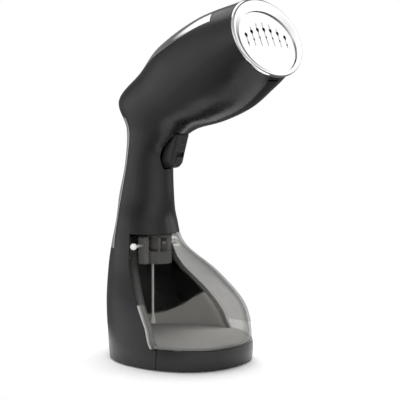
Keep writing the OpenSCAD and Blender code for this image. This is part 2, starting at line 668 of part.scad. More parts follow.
module suction_tube() {
  color("#dfe3e4") translate([CAP_C[0] + TUBE_DX, 0, 27]) difference() {
    cylinder(r = 1.6, h = 58.8);
    translate([0, 0, -1]) cylinder(r = 1, h = 62);
  }
}
module suction_filter() {
  color("#f0f0ee") translate([CAP_C[0] + TUBE_DX, 0, 22]) difference() {
    union() {
      cylinder(r1 = 3.2, r2 = 2.4, h = 5);
      translate([0, 0, 5]) cylinder(r = 2.4, h = 4);
    }
    translate([0, 0, 5]) cylinder(r = 1.6, h = 5);
    translate([0, 0, -1]) cylinder(r = 1, h = 8);
  }
}

// ---- latches ----
block_y = 11.2;   // inner face of a latch block
block_w = 6.8;
block_len = 5;
module both_sides() {
  for (s = [0, 1]) mirror([0, s, 0]) children();
}
stem_r = 1.2;
module latch_blocks() {
  roof = section(TANK_ROWS[len(TANK_ROWS) - 1])[1] - tank_wall;   // they hang from the tank's roof
  color("#a9adb0") both_sides() difference() {
    translate([LATCH_X - block_w / 2, -block_y - block_len, 75]) cube([block_w, block_len, roof - 75]);
    translate([LATCH_X, 0, latch_z]) rotate([90, 0, 0]) cylinder(r = stem_r + fit, h = 30);
  }
}
module latch_springs() {
  wire = 0.25;
  turns = 3;
  per_turn = 10;
  y0 = block_y + block_len + wire;
  len_s = latch_y - ball_r - latch_travel - wire - 0.2 - y0;
  p = [for (k = [0 : turns * per_turn])
    [LATCH_X + 1.5 * cos(360 * k / per_turn), -y0 - len_s * k / (turns * per_turn),
     latch_z + 1.5 * sin(360 * k / per_turn)]];
  color("#c9cbd0") both_sides() tube_along(p, wire, 6);
}
module latch_pin() {
  translate([LATCH_X, -latch_y, latch_z]) {
    sphere(r = ball_r);
    rotate([-90, 0, 0]) cylinder(r = stem_r, h = latch_y - block_y + 1);
  }
}
module right_latch_pin() { color("#f4f4f4") latch_pin(); }
module left_latch_pin() { color("#f4f4f4") mirror([0, 1, 0]) latch_pin(); }

left_casing();
right_casing();
chrome_top_cover();
chrome_back_strip();
nozzle_rim();
steam_plate();
plate_gasket();
steam_chamber();
heater_element();
thermostat();
thermal_fuse();
heat_sleeve();
chamber_screws();
check_valve();
outlet_hose();
inlet_hose();
pump();
pump_mounts();
control_board();
board_parts();
terminal_block();
microswitch();
trigger_pin();
trigger_spring();
cord_gland();
base_plate();
base_screws();
skirt_feet();
neck_plate();
dock_socket();
dock_seal();
tank_shell();
tank_floor();
foot_band();
foot_sole();
sole_screws();
front_feet();
tank_cap();
valve_body();
valve_seal();
suction_tube();
suction_filter();
latch_blocks();
latch_springs();
right_latch_pin();
left_latch_pin();
trigger();
lock_slider();
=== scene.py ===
import bpy
import bmesh
import math
import numpy as np
from mathutils import Matrix, Vector


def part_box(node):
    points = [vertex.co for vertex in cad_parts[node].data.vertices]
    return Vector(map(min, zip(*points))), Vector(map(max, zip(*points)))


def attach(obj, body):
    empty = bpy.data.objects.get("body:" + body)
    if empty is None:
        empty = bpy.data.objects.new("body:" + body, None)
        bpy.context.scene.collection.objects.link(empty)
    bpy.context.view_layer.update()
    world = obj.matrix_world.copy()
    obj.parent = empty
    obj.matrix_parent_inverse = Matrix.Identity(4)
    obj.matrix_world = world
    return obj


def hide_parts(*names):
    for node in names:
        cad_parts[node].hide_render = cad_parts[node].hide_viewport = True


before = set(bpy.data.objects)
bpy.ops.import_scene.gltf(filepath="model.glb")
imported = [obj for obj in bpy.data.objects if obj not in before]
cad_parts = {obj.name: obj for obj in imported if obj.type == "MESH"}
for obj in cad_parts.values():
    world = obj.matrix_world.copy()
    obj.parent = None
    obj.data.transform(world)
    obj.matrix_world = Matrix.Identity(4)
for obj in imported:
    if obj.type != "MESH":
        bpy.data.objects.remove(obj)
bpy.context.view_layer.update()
MM = 0.001

# ------------------------------------------ camera
# Seen from the front right, 40 degrees round and 5 degrees from above.
cam_data = bpy.data.cameras.new("camera")
cam = bpy.data.objects.new("camera", cam_data)
bpy.context.scene.collection.objects.link(cam)
cam_data.lens = 100.4
cam_data.sensor_width = 36
cam_data.clip_start, cam_data.clip_end = 0.05, 50
cam.location = Vector((0.5868, -0.6749, 0.2060))
az, el = math.radians(40), math.radians(5)
look = Vector((-math.sin(az) * math.cos(el), math.cos(az) * math.cos(el), -math.sin(el)))
cam.rotation_mode = "QUATERNION"
cam.rotation_quaternion = look.to_track_quat("-Z", "Y")
bpy.context.scene.camera = cam
bpy.context.scene.view_settings.view_transform = "Standard"

# ------------------------------------------ the body's loft, as in the CAD source, in mm
# Stations up the body: back x, back z, front x, front z, half width, roundness exponent.
STATIONS = np.array([
    [-58.5, .8, 58.5, .8, 53, 2.2],
    [-61.5, 16, 60, 16, 51.8, 2.2],
    [-66, 45, 54, 45, 45.5, 2.3],
    [-71, 70, 32, 70, 32.5, 2.2],
    [-67.5, 90, -2.5, 90, 26.2, 2.2],
    [-61.5, 110, -12.5, 110, 24.8, 2.15],
    [-61.5, 130, -12.5, 130, 19.4, 2.1],
    [-55, 155.5, -12.5, 162.5, 17.8, 2.1],
    [-53.5, 185, -4, 174, 18, 2.1],
    [-62, 209, 13.5, 184.5, 22, 2.1],
    [-35.5, 231.5, 40.5, 191, 27.8, 2.1],
    [-13, 252, 66, 201, 33.4, 2.1],
    [28, 272, 86, 216, 36.5, 2.1],
    [72.5, 283, 94, 224.5, 38.3, 2.05]])
LAST = len(STATIONS) - 1
# Stretches of the loft that hold an opening or a chrome skin.
T_NECK, T_TRIG, T_SLOT, T_GLAND = 4.5, (6.65, 8.62), (12.58, 12.74), (2.4, 2.85)
T_STRIP, T_COVER = (3.8, 8.5), (9.72, 12.45)
# The tank's rear edge beside the skirt, and its back inside the skirt, as height and x.
EDGE = np.array([[0, 18.5], [15.8, 18.5], [16, 12.5], [20, 9.5], [31, 5], [40, -1.5], [51, -10],
                 [60, -17.5], [69, -25], [77, -29.5], [85, -31.6], [100, -33]])
BACK = np.array([[16, -53], [45, -55], [68, -55], [76, -50], [84, -41.5], [100, -41]])
SEAM_X, GAP, SIDE_STEP, TANK_WALL = 18.5, 0.5, 5.0, 2.0


def station(i):
    """Row i of STATIONS; one step beyond either end it carries on in a straight line."""
    if i < 0:
        return 2 * STATIONS[0] - STATIONS[1]
    if i > LAST:
        return 2 * STATIONS[LAST] - STATIONS[LAST - 1]
    return STATIONS[i]


def catmull(a, b, c, d, u):
    """A smooth blend from b to c."""
    return 0.5 * (2 * b + (c - a) * u + (2 * a - 5 * b + 4 * c - d) * u * u
                  + (3 * b - a - 3 * c + d) * u ** 3)


def section(t):
    """The body's section at t, which counts stations and may fall between two."""
    i = min(int(math.floor(t)), LAST - 1)
    return catmull(station(i - 1), station(i), station(i + 1), station(i + 2), t - i)


def spow(v, e):
    """A power that keeps the sign of v."""
    return math.copysign(abs(v) ** e, v)


def skin(t, deg, inset=0.0):
    """A point of the body's surface: 0 degrees is the front, 180 the back, 90 the left side."""
    s = section(t)
    half = np.array([s[2] - s[0], s[3] - s[1]]) / 2
    ln = np.linalg.norm(half)
    a = math.radians(deg)
    c = (ln - inset) * spow(math.cos(a), 2 / s[5])
    y = (s[4] - inset) * spow(math.sin(a), 2 / s[5])
    return np.array([(s[0] + s[2]) / 2 + half[0] / ln * c, y, (s[1] + s[3]) / 2 + half[1] / ln * c])


def angle_at_x(t, x):
    """Angle round the section at which the surface is at x."""
    s = section(t)
    r = (x - (s[0] + s[2]) / 2) / ((s[2] - s[0]) / 2)
    return math.degrees(math.acos(max(-1, min(1, spow(r, s[5] / 2)))))


def angle_at_y(t, y):
    """Angle between the middle plane and the surface at y."""
    s = section(t)
    return math.degrees(math.asin(min(abs(y) / s[4], 1) ** (s[5] / 2)))


def edge_x(t):
    """The skirt's front edge at the height of t."""
    return float(np.interp(section(t)[1], EDGE[:, 0], EDGE[:, 1]))


def t_at_z(z):
    """The t of a height in the body's lower part."""
    lo, hi = 0.0, 6.0
    for _ in range(40):
        mid = (lo + hi) / 2
        lo, hi = (mid, hi) if section(mid)[1] < z else (lo, mid)
    return lo


def refine(values, step):
    """Fills in a rising list so that no step is longer than step."""
    out = []
    for a, b in zip(values[:-1], values[1:]):
        n = max(1, int(math.ceil((b - a) / step - 1e-6)))
        out += [a + (b - a) * k / n for k in range(n)]
    return out + [values[-1]]


# ------------------------------------------ mesh helpers
def new_object(name, verts, faces, smooth=True, sharp=None):
    mesh = bpy.data.meshes.new(name)
    mesh.from_pydata([tuple(float(c) * MM for c in v) for v in verts], [], [tuple(f) for f in faces])
    bm = bmesh.new()
    bm.from_mesh(mesh)
    bmesh.ops.remove_doubles(bm, verts=bm.verts, dist=1e-7)     # 0.1 micrometre
    loose = [v for v in bm.verts if not v.link_faces]
    bmesh.ops.delete(bm, geom=loose, context="VERTS")
    bmesh.ops.recalc_face_normals(bm, faces=bm.faces)
    bm.to_mesh(mesh)
    bm.free()
    mesh.polygons.foreach_set("use_smooth", [smooth] * len(mesh.polygons))
    obj = bpy.data.objects.new(name, mesh)
    bpy.context.scene.collection.objects.link(obj)
    if sharp:
        mesh.set_sharp_from_angle(angle=math.radians(sharp))
    return obj


def grid_faces(nr, nc, keep=None, wrap=False):
    """Faces of a grid of nr rows with nc points each; keep(row, column) can leave some out."""
    m = nc if wrap else nc - 1
    return [(i * nc + j, i * nc + (j + 1) % nc, (i + 1) * nc + (j + 1) % nc, (i + 1) * nc + j)
            for i in range(nr - 1) for j in range(m) if keep is None or keep(i, j)]


def ring_faces(nr, nc):
    """Faces of nr closed rings of nc points each, the last ring joined to the first."""
    return [(i * nc + k, i * nc + (k + 1) % nc, (i + 1) % nr * nc + (k + 1) % nc, (i + 1) % nr * nc + k)
            for i in range(nr) for k in range(nc)]


def outward(obj, centre_of):
    """Turns an open sheet so that its faces look away from the body's middle."""
    mesh = obj.data
    total = sum((p.center - Vector(centre_of(p.center))).dot(p.normal) * p.area for p in mesh.polygons)
    if total < 0:
        mesh.flip_normals()
    return obj


def body_centre(c):
    """A point on the body's bent middle line, in metres, at the height of c."""
    heights = [0, .07, .13, .185, .215, .25, .283]
    middles = [-.004, -.02, -.037, -.03, 0, .045, .07]
    return (float(np.interp(c[2], heights, middles)), 0, c[2])


def thicken(obj, mm):
    """Gives a sheet a wall on its inner side."""
    m = obj.modifiers.new("wall", "SOLIDIFY")
    m.thickness = mm * MM
    m.offset = -1
    m.use_even_offset = True
    return obj


def bevel(obj, mm, segments=2, angle=40):
    m = obj.modifiers.new("edges", "BEVEL")
    m.width = mm * MM
    m.segments = segments
    m.limit_method = "ANGLE"
    m.angle_limit = math.radians(angle)
    m.miter_outer = "MITER_ARC"
    m.harden_normals = False
    w = obj.modifiers.new("normals", "WEIGHTED_NORMAL")
    w.keep_sharp = True
    return obj


def lathe(name, profile, n=64, origin=(0, 0, 0), axis="Z"):
    """A turned solid. profile is a closed line of (radius, height) in mm."""
    steps = [2 * math.pi * k / n for k in range(n)]
    verts = [(r * math.cos(a), r * math.sin(a), z) for r, z in profile for a in steps]
    faces = ring_faces(len(profile), n)
    turn = {"Z": Matrix.Identity(3), "X": Matrix(((0, 0, 1), (0, 1, 0), (-1, 0, 0))),
            "Y": Matrix(((1, 0, 0), (0, 0, 1), (0, -1, 0)))}[axis]
    o = Vector(origin)
    verts = [turn @ Vector(v) + o for v in verts]
    return new_object(name, verts, faces, sharp=40)


def rounded(profile, r, n=4):
    """Rounds the corners of a closed profile by up to r mm, apart from those on the axis."""
    out = []
    m = len(profile)
    for i in range(m):
        p, a, b = (np.array(profile[k % m], float) for k in (i, i - 1, i + 1))
        da, db = a - p, b - p
        la, lb = np.linalg.norm(da), np.linalg.norm(db)
        on_axis = p[0] < 0.01
        q = 0 if on_axis else min(r, la * 0.45, lb * 0.45)
        if q < 0.02:
            out.append(tuple(p))
            continue
        s, e = p + da / la * q, p + db / lb * q
        for k in range(n + 1):
            u = k / n
            out.append(tuple((1 - u) ** 2 * s + 2 * u * (1 - u) * p + u * u * e))
    return out


def prism(name, outline, depth, place, sharp=None):
    """A flat outline in (u, v), extruded from 0 to depth, put in place by place(u, v, w)."""
    n = len(outline)
    verts = [place(u, v, 0) for u, v in outline] + [place(u, v, depth) for u, v in outline]
    faces = [tuple(range(n)), tuple(range(2 * n - 1, n - 1, -1))]
    faces += [(k, k + n, (k + 1) % n + n, (k + 1) % n) for k in range(n)]
    return new_object(name, verts, faces, smooth=True, sharp=sharp)


# ------------------------------------------ materials
def principled(name):
    mat = bpy.data.materials.new(name)
    mat.use_nodes = True
    nt = mat.node_tree
    b = nt.nodes.get("Principled BSDF")
    return mat, nt, b


def node(nt, kind, **values):
    n = nt.nodes.new(kind)
    for k, v in values.items():
        if k.startswith("i_"):
            n.inputs[k[2:].replace("_", " ")].default_value = v
        else:
            setattr(n, k, v)
    return n


def ramp(nt, source, stops):
    r = nt.nodes.new("ShaderNodeValToRGB")
    els = r.color_ramp.elements
    while len(els) < len(stops):
        els.new(0.5)
    for e, (pos, col) in zip(els, stops):
        e.position = pos
        c = col if hasattr(col, "__len__") else (col, col, col)
        e.color = (*c[:3], 1)
    nt.links.new(source, r.inputs["Fac"])
    return r.outputs["Color"]


ROUGH_VARY = 0.25       # how far the roughness wanders to each side, as a share of it


def material(name, color, rough, metal=0.0, grain=900.0, bump=0.05, vary=0.12, wear=0.0, spec=0.5,
             stretch=None):
    """A moulded, cast or polished surface: fine grain in the bump, blotches in colour and
    roughness, worn edges."""
    mat, nt, b = principled(name)
    L = nt.links.new
    tc = node(nt, "ShaderNodeTexCoord")
    co = tc.outputs["Object"]
    if stretch:
        mp = node(nt, "ShaderNodeMapping")
        mp.inputs["Scale"].default_value = stretch
        L(co, mp.inputs["Vector"])
        co = mp.outputs["Vector"]
    big = node(nt, "ShaderNodeTexNoise", i_Scale=38.0, i_Detail=4.0, i_Roughness=0.6)
    fine = node(nt, "ShaderNodeTexNoise", i_Scale=grain, i_Detail=3.0, i_Roughness=0.55)
    L(co, big.inputs["Vector"])
    L(co, fine.inputs["Vector"])
    dark = tuple(c * (1 - vary) for c in color[:3])
    light = tuple(min(1, c * (1 + vary)) for c in color[:3])
    col = ramp(nt, big.outputs["Fac"], [(0.3, dark), (0.7, light)])
    if wear > 0:
        geo = node(nt, "ShaderNodeNewGeometry")
        edge = ramp(nt, geo.outputs["Pointiness"], [(0.53, 0), (0.6, wear)])
        mix = node(nt, "ShaderNodeMix", data_type="RGBA")
        L(edge, mix.inputs["Factor"])
        L(col, mix.inputs["A"])
        mix.inputs["B"].default_value = (*[min(1, c * 2.2 + 0.03) for c in color[:3]], 1)
        col = mix.outputs["Result"]
    L(col, b.inputs["Base Color"])
    rr = ramp(nt, big.outputs["Fac"], [(0.3, rough * (1 - ROUGH_VARY)),
                                       (0.7, min(1, rough * (1 + ROUGH_VARY)))])
    L(rr, b.inputs["Roughness"])
    b.inputs["Metallic"].default_value = metal
    b.inputs["Specular IOR Level"].default_value = spec
    bp = node(nt, "ShaderNodeBump", i_Strength=bump, i_Distance=0.0002)
    L(fine.outputs["Fac"], bp.inputs["Height"])
    L(bp.outputs["Normal"], b.inputs["Normal"])
    return mat


EDGE_SHINE, EDGE_POWER = 0.75, 4.0      # the gloss of clear plastic where it is seen edge on


def clear(name, tint, haze_and_painted_light_tint, gloss=0.004, rough=0.03, milky=0.0):
    """Clear moulded plastic: tinted see-through, gloss that grows towards the edges, and a frosted
    share, which is milky haze plus painted light from a point attribute of the mesh: pale marks that
    stand in for a reflection and a highlight."""
    mat = bpy.data.materials.new(name)
    mat.use_nodes = True
    nt = mat.node_tree
    L = nt.links.new
    nt.nodes.clear()
    out = node(nt, "ShaderNodeOutputMaterial")
    tc = node(nt, "ShaderNodeTexCoord")
    noise = node(nt, "ShaderNodeTexNoise", i_Scale=60.0, i_Detail=3.0)
    L(tc.outputs["Object"], noise.inputs["Vector"])
    bp = node(nt, "ShaderNodeBump", i_Strength=0.06, i_Distance=0.0006)
    L(noise.outputs["Fac"], bp.inputs["Height"])
    see = node(nt, "ShaderNodeBsdfTransparent")
    L(ramp(nt, noise.outputs["Fac"], [(0.3, [c * 0.97 for c in tint]), (0.7, tint)]), see.inputs["Color"])
    shine = node(nt, "ShaderNodeBsdfGlossy", i_Roughness=rough)
    L(bp.outputs["Normal"], shine.inputs["Normal"])
    lw = node(nt, "ShaderNodeLayerWeight", i_Blend=0.5)
    pw = node(nt, "ShaderNodeMath", operation="POWER")
    L(lw.outputs["Facing"], pw.inputs[0])
    pw.inputs[1].default_value = EDGE_POWER
    ma = node(nt, "ShaderNodeMath", operation="MULTIPLY_ADD")
    L(pw.outputs[0], ma.inputs[0])
    ma.inputs[1].default_value = EDGE_SHINE
    ma.inputs[2].default_value = gloss
    mix = node(nt, "ShaderNodeMixShader")
    L(ma.outputs[0], mix.inputs["Fac"])
    L(see.outputs[0], mix.inputs[1])
    L(shine.outputs[0], mix.inputs[2])
    # this pale shader is real milky haze, and on the tank's wall it also carries the painted reflection and
    # highlight
    haze_and_painted_light_diffuse = node(nt, "ShaderNodeBsdfDiffuse")
    haze_and_painted_light_diffuse.inputs["Color"].default_value = (*haze_and_painted_light_tint, 1)
    through = node(nt, "ShaderNodeBsdfTranslucent")
    through.inputs["Color"].default_value = (*haze_and_painted_light_tint, 1)
    both = node(nt, "ShaderNodeMixShader", i_Fac=0.5)
    L(haze_and_painted_light_diffuse.outputs[0], both.inputs[1])
    L(through.outputs[0], both.inputs[2])
    # the attribute holds the painted reflection and painted highlight
    at = node(nt, "ShaderNodeAttribute", attribute_name="painted_reflection")
    haze_and_painted_light_share = node(nt, "ShaderNodeMath", operation="ADD")
    L(at.outputs["Fac"], haze_and_painted_light_share.inputs[0])
    haze_and_painted_light_share.inputs[1].default_value = milky
    fm = node(nt, "ShaderNodeMixShader")
    L(haze_and_painted_light_share.outputs[0], fm.inputs["Fac"])
    L(mix.outputs[0], fm.inputs[1])
    L(both.outputs[0], fm.inputs[2])
    L(fm.outputs[0], out.inputs["Surface"])
    return mat


def put(obj, mat):
    obj.data.materials.clear()
    obj.data.materials.append(mat)
    return obj


def piece(obj, mat, body, slot=None, *nodes):
    put(obj, mat)
    if nodes:
        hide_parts(*nodes)
    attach(obj, body)
    return obj


BLACK = material("satin_black_plastic", (0.005, 0.005, 0.0052), 0.3, grain=1500, bump=0.05, wear=0.12)
SKIRT_IN = material("black_plastic_base", (0.006, 0.006, 0.0065), 0.42, grain=1200, bump=0.08, wear=0.2)
TRIGGER = material("ribbed_black_plastic", (0.008, 0.008, 0.0084), 0.42, grain=1600, bump=0.12, wear=0.15)
CHROME = material("polished_chrome", (0.93, 0.93, 0.935), 0.045, metal=1.0, grain=400, bump=0.01, vary=0.02)
PLATE = material("polished_steel", (0.9, 0.9, 0.905), 0.12, metal=1.0, grain=900, bump=0.02, vary=0.03,
                 stretch=(1, 8, 1))
RUBBER = material("black_rubber", (0.018, 0.018, 0.018), 0.75, grain=1400, bump=0.25, wear=0.2)
RED_RUBBER = material("red_silicone", (0.32, 0.08, 0.05), 0.6, grain=1300, bump=0.15)
ALU = material("cast_aluminium", (0.6, 0.61, 0.62), 0.42, metal=1.0, grain=700, bump=0.35, wear=0.2)
HEATER = material("heat_tinted_steel", (0.34, 0.27, 0.23), 0.38, metal=1.0, grain=600, bump=0.12, vary=0.3)
CERAMIC = material("white_ceramic", (0.78, 0.75, 0.68), 0.35, grain=900, bump=0.1)
SLEEVE = material("mica_sleeve", (0.62, 0.58, 0.48), 0.7, grain=500, bump=0.4, vary=0.25)
STEEL = material("turned_steel", (0.55, 0.56, 0.58), 0.28, metal=1.0, grain=1500, bump=0.08,
                 stretch=(1, 1, 12))
HOSE = material("silicone_hose", (0.62, 0.66, 0.67), 0.45, grain=900, bump=0.08)
PUMP = material("blue_pump_body", (0.06, 0.14, 0.32), 0.45, grain=1000, bump=0.12, wear=0.3)
BOARD = material("green_board", (0.03, 0.16, 0.06), 0.4, grain=260, bump=0.25, vary=0.35)
PARTS = material("black_components", (0.03, 0.03, 0.032), 0.5, grain=900, bump=0.15, wear=0.2)
TERMINAL = material("cream_nylon", (0.72, 0.69, 0.6), 0.5, grain=1100, bump=0.12)
GREY = material("grey_valve_plastic", (0.18, 0.178, 0.175), 0.35, grain=1200, bump=0.08, wear=0.25)
WHITE = material("white_acetal", (0.86, 0.86, 0.85), 0.22, grain=1200, bump=0.04)
FLOOR_GREY = material("grey_tank_floor", (0.6, 0.597, 0.59), 0.65, grain=900, bump=0.06,
                      vary=0.05, spec=0.2)
SPRING = material("spring_wire", (0.66, 0.67, 0.7), 0.22, metal=1.0, grain=1500, bump=0.05)
# the tank's second tint is the pale colour of its painted reflection and highlight marks
TANK = clear("smoked_clear_plastic", (0.787, 0.785, 0.778), (0.84, 0.835, 0.82))
CAP = clear("clear_cap_plastic", (0.81, 0.808, 0.8), (0.6, 0.595, 0.585), gloss=0.05, rough=0.06,
            milky=0.35)
GUIDE = clear("milky_guide_plastic", (0.71, 0.708, 0.7), (0.6, 0.595, 0.585), gloss=0.03, rough=0.1,
              milky=0.75)

# ------------------------------------------ casing halves
CASING_WALL = 2.2
SEAT_TOP, SEAT_LOW = 1.35, 3.0        # the slab under a chrome skin, below the body's surface
KEY_ROWS = [0, 0.98, 1, 2, *T_GLAND, T_STRIP[0], T_NECK, T_TRIG[0], 6.68, 6.73, 6.8, 6.9,
            T_STRIP[1], T_TRIG[1], 9.2, *T_COVER, *T_SLOT, LAST]
ROWS = refine(KEY_ROWS, 0.085)
# Columns at the back seam, the skin's edge, the tank's edge, the trigger opening and the front seam.
SPLITS = [0, 10, 30, 38, 48]
STRIP_ANGLE = 59                      # half the angle that the back strip covers
OPENING_HALF, SLOT_HALF = 8.1, 6      # half widths of the trigger's opening and the accessory slot
OPENING_LOW = 3.6                     # how much narrower the opening starts, at its rounded foot


def tongue(t):
    """Half the angle that the top cover takes up, which narrows to a tongue at the back."""
    return 54 * math.sqrt(max(1 - ((12.45 - t) / 2.75) ** 2, 0))


def skin_angle(t):
    if t <= 9:
        return STRIP_ANGLE
    if t < T_COVER[0]:
        return STRIP_ANGLE + (tongue(T_COVER[0]) - STRIP_ANGLE) * (t - 9) / (T_COVER[0] - 9)
    return tongue(t)


def edge_cut(t):
    return 360 - (angle_at_x(t, edge_x(t)) if t <= T_NECK else 80)


def column_angle(t, j):
    """Angle round the section, over 180 on the right side, of a column of the casing's grid."""
    if t < 3.2 and j == 1:
        return 187.5                  # the gland's opening
    low = min(max((t - T_TRIG[0]) / 0.4, 0), 1)
    half = OPENING_HALF - OPENING_LOW * (1 - low) ** 2 if t < 10 else SLOT_HALF
    marks = [180, 180 + skin_angle(t), edge_cut(t), 360 - angle_at_y(t, half), 360]
    k = next(k for k in range(4) if j <= SPLITS[k + 1])
    u = (j - SPLITS[k]) / (SPLITS[k + 1] - SPLITS[k])
    return marks[k] + (marks[k + 1] - marks[k]) * u


def within(t0, t1, span):
    return t0 >= span[0] - 1e-6 and t1 <= span[1] + 1e-6


def casing_keep(i, j):
    """Says which cells of the casing's grid hold material."""
    t0, t1 = ROWS[i], ROWS[i + 1]
    if t1 <= T_NECK + 1e-6 and j >= SPLITS[2]:
        return False
    if (within(t0, t1, T_TRIG) or within(t0, t1, T_SLOT)) and j >= SPLITS[3]:
        return False
    if within(t0, t1, T_GLAND) and j < 1:
        return False
    if (within(t0, t1, T_STRIP) or within(t0, t1, T_COVER)) and j < SPLITS[1]:
        return False
    return True


def mirrored(points):
    return [np.array([p[0], -p[1], p[2]]) for p in points]


casing_grid = [skin(t, column_angle(t, j)) for t in ROWS for j in range(SPLITS[4] + 1)]


def sunk_panel(span):
    """Grid points of the seat that a chrome skin lies on: its top, its underside and their size."""
    ts = refine([span[0], span[1]], 0.12)
    cols = 12
    top, low = ([skin(t, 180 + skin_angle(t) * j / cols, inset) for t in ts for j in range(cols + 1)]
                for inset in (SEAT_TOP, SEAT_LOW))
    return top, low, len(ts), cols + 1


def slab(top, low, nr, nc):
    """A closed solid between two equal grids of points."""
    m = nr * nc
    f = grid_faces(nr, nc)
    faces = f + [tuple(m + k for k in reversed(q)) for q in f]
    ring = ([i * nc for i in range(nr)] + [(nr - 1) * nc + j for j in range(1, nc)]
            + [i * nc + nc - 1 for i in range(nr - 2, -1, -1)] + [j for j in range(nc - 2, 0, -1)])
    for a, b in zip(ring, ring[1:] + ring[:1]):
        faces.append((a, b, m + b, m + a))
    return list(top) + list(low), faces


for side, flip in (("right", False), ("left", True)):
    pts = mirrored(casing_grid) if flip else casing_grid
    half = new_object("casing_" + side, pts, grid_faces(len(ROWS), SPLITS[4] + 1, casing_keep), sharp=60)
    outward(half, body_centre)
    thicken(half, CASING_WALL)
    bevel(half, 0.22)
    piece(half, BLACK, "handle", "casing", side + "_casing")
    for what, span in (("strip_seat_", T_STRIP), ("cover_seat_", T_COVER)):
        top, low, nr, nc = sunk_panel(span)
        if flip:
            top, low = mirrored(top), mirrored(low)
        piece(new_object(what + side, *slab(top, low, nr, nc), sharp=50), BLACK, "handle", "casing")

# ------------------------------------------ chrome skins
SKIN_T = 1.2            # thickness of the chrome skins
SKIN_GAP = 0.6          # angle left free beside a skin's edge


def chrome_skin(name, span, node_name, cols=28):
    """A thin skin over the back of the body, cols columns to each side."""
    ts = refine([span[0] + 0.02, span[1] - 0.02], 0.06)
    pts = []
    for t in ts:
        w = skin_angle(t) - SKIN_GAP
        pts += [skin(t, 180 + w * j / cols, 0.02) for j in range(-cols, cols + 1)]
    o = new_object(name, pts, grid_faces(len(ts), 2 * cols + 1), sharp=60)
    outward(o, body_centre)
    thicken(o, SKIN_T)
    bevel(o, 0.35, 3)
    return piece(o, CHROME, "handle", "chrome", node_name)


chrome_skin("top_cover", T_COVER, "chrome_top_cover")
chrome_skin("back_strip", T_STRIP, "chrome_back_strip", 20)

# ------------------------------------------ rim, steam plate and what CAD made
# Rings of the chrome rim: top x, top z, bottom x, bottom z, half width.
RIM = np.array([
    [72.7, 282.9, 94.1, 224.7, 38.2],
    [74.4, 283.4, 95.7, 224.2, 40.4],
    [76.8, 282.6, 97.3, 224.8, 41.0],
    [78, 280.6, 98.1, 226.2, 39.4],
    [78.1, 274.2, 96.8, 228, 34.3],
    [75.5, 273.4, 94.3, 226.4, 34.4],
    [74.1, 279.4, 93.3, 227, 36.4]])
STRAIGHT = (3, 4, 5)    # rings of the rim that a flat face follows
RIM_POINTS = 144


def rim_rings():
    """The rim's rings with four steps between each two: rounded outside, flat faces inside."""
    m = len(RIM)
    out = []
    for i in range(m):
        a, b, c, d = RIM[i - 1], RIM[i], RIM[(i + 1) % m], RIM[(i + 2) % m]
        for u in (0, 0.25, 0.5, 0.75):
            out.append(b + (c - b) * u if i in STRAIGHT else catmull(a, b, c, d, u))
    return out


def chrome_rim():
    steps = [2 * math.pi * k / RIM_POINTS for k in range(RIM_POINTS)]
    rings = rim_rings()
    verts = [((r[0] + r[2]) / 2 + (r[2] - r[0]) / 2 * math.cos(a), r[4] * math.sin(a),
              (r[1] + r[3]) / 2 + (r[3] - r[1]) / 2 * math.cos(a)) for r in rings for a in steps]
    return new_object("chrome_rim", verts, ring_faces(len(rings), RIM_POINTS), sharp=45)


piece(chrome_rim(), CHROME, "handle", "chrome", "nozzle_rim")


def cad_node(name, mat, bevel_mm=0.0):
    """Gives a piece that is taken over from the CAD its material, and rounds its edges."""
    o = put(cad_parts[name], mat)
    if bevel_mm:
        bevel(o, bevel_mm)


cad_node("steam_plate", PLATE, 0.15)
TAKEN_OVER = (
    ("plate_gasket", RUBBER), ("steam_chamber", ALU), ("heater_element", HEATER),
    ("thermostat", CERAMIC), ("thermal_fuse", STEEL), ("heat_sleeve", SLEEVE),
    ("chamber_screws", STEEL), ("check_valve", WHITE), ("outlet_hose", HOSE), ("inlet_hose", HOSE),
    ("pump", PUMP), ("pump_mounts", RUBBER), ("control_board", BOARD), ("board_parts", PARTS),
    ("terminal_block", TERMINAL), ("microswitch", PARTS), ("trigger_pin", STEEL),
    ("trigger_spring", SPRING), ("base_plate", SKIRT_IN), ("base_screws", STEEL),
    ("skirt_feet", RUBBER), ("neck_plate", SKIRT_IN), ("dock_socket", GREY),
    ("dock_seal", RED_RUBBER), ("foot_sole", SKIRT_IN), ("sole_screws", STEEL),
    ("front_feet", RUBBER), ("cord_gland", RUBBER), ("valve_seal", RUBBER), ("tank_cap", CAP),
    ("latch_blocks", GUIDE), ("latch_springs", SPRING), ("tank_floor", FLOOR_GREY))
for cad_name, cad_material in TAKEN_OVER:
    cad_node(cad_name, cad_material)

# ------------------------------------------ trigger and lock slider
TRIG_HALF, TRIG_R = 7.3, 4.4                # half width and corner radius of the key
TRIG_LOW, TRIG_TOP = 153.4, 180.45          # heights of its ends
TRIG_REAR = -15.0                           # rear of its lower part
FLANK_IN = 0.2                              # how much its sides draw in towards the rear
FACE_LOW, FACE_TOP = np.array([-1.8, 158]), np.array([5.0, 180.2])
# The key's front in side view, as height and x.
FRONT = np.array([[153.4, -6.2], [153.8, -4.6], [154.6, -3.4], [156, -2.5], [158, -1.8], [180.2, 5.0],
                  [181, 5.1]])
RIB_FROM, RIB_TO, RIB_PITCH, RIB_DEEP = 166.2, 180.4, 1.9, 0.22
RIB_HALF = 6                                # half width of the ribbed field
POCKET_DEEP, POCKET_HALF = 1.6, 4.2         # the slider's pocket in the key's face
POCKET_LOW, POCKET_TOP = -1, 8.2            # its ends, measured up the face


